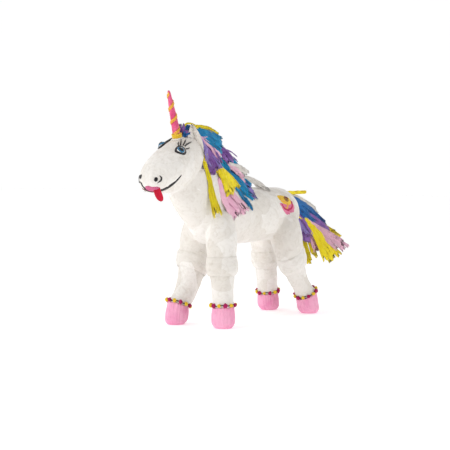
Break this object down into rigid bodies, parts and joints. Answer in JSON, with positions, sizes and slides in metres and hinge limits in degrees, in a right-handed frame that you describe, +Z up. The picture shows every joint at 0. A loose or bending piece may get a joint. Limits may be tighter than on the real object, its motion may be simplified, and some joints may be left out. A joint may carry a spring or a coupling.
{
  "type": "animal-shaped pinata",
  "caption": "Standing horned-horse pinata of crepe-covered papier-mache: hollow body for sweets with a fill flap in the back, strip mane and tail, wound horn.",
  "frame": {"origin": "on the ground, midway along and across the whole figure", "axes": "+Z up, -Y ahead (the nose), +X the animal's left"},
  "size_m": [0.202, 0.7787, 0.5548],
  "materials": {
    "black_cord": "matte",
    "blue_crepe_strip": "matte",
    "gold_cord": "satin",
    "horn_pink": "matte",
    "lilac_crepe_strip": "matte",
    "magenta_pompom": "matte",
    "mark_paper": "matte",
    "masking_tape": "matte",
    "newspaper": "matte",
    "pink_crepe": "matte",
    "pink_crepe_strip": "matte",
    "purple_crepe_strip": "matte",
    "raw_wood": "matte",
    "red_paper": "matte",
    "teal_crepe_strip": "matte",
    "white_crepe": "matte",
    "white_crepe_strip": "matte",
    "yellow_cord": "satin",
    "yellow_crepe_strip": "matte",
    "yellow_pompom": "matte"
  },
  "bodies": {
    "figure": {"anklet_beads_magenta": "magenta_pompom", "anklet_beads_yellow": "yellow_pompom", "anklet_cord_front_left": "black_cord", "anklet_cord_front_right": "black_cord", "anklet_cord_hind_left": "black_cord", "anklet_cord_hind_right": "black_cord", "ear_left": "white_crepe", "ear_right": "white_crepe", "flap_hinge_tape": "masking_tape", "hanger_dowel": "raw_wood", "hanger_pad_left": "masking_tape", "hanger_pad_right": "masking_tape", "head_core": "newspaper", "head_shell": "white_crepe", "hip_mark_left": "mark_paper", "hip_mark_right": "mark_paper", "hoof_front_left": "pink_crepe", "hoof_front_right": "pink_crepe", "hoof_hind_left": "pink_crepe", "hoof_hind_right": "pink_crepe", "horn_collar": "yellow_cord", "horn_cone": "horn_pink", "horn_cord": "gold_cord", "knee_wrap_front_left": "white_crepe", "knee_wrap_front_right": "white_crepe", "knee_wrap_hind_left": "white_crepe", "knee_wrap_hind_right": "white_crepe", "leg_core_front_left": "newspaper", "leg_core_front_right": "newspaper", "leg_core_hind_left": "newspaper", "leg_core_hind_right": "newspaper", "leg_front_left": "white_crepe", "leg_front_right": "white_crepe", "leg_hind_left": "white_crepe", "leg_hind_right": "white_crepe", "mane_band": "white_crepe", "mane_strips_blue": "blue_crepe_strip", "mane_strips_lilac": "lilac_crepe_strip", "mane_strips_pink": "pink_crepe_strip", "mane_strips_purple": "purple_crepe_strip", "mane_strips_teal": "teal_crepe_strip", "mane_strips_white": "white_crepe_strip", "mane_strips_yellow": "yellow_crepe_strip", "neck_core": "newspaper", "neck_shell": "white_crepe", "tail_plug": "newspaper", "tail_strips_blue": "blue_crepe_strip", "tail_strips_lilac": "lilac_crepe_strip", "tail_strips_pink": "pink_crepe_strip", "tail_strips_purple": "purple_crepe_strip", "tail_strips_white": "white_crepe_strip", "tail_strips_yellow": "yellow_crepe_strip", "tongue": "red_paper", "torso_shell": "white_crepe"},
    "fill_flap": {"fill_flap": "white_crepe"}
  },
  "joints": [
    {"name": "flap_fold", "type": "hinge", "parent": "figure", "child": "fill_flap", "pos_m": [-0.036, 0.11, 0.31472], "axis": [0, -1, 0], "range_deg": [0, 100]}
  ]
}
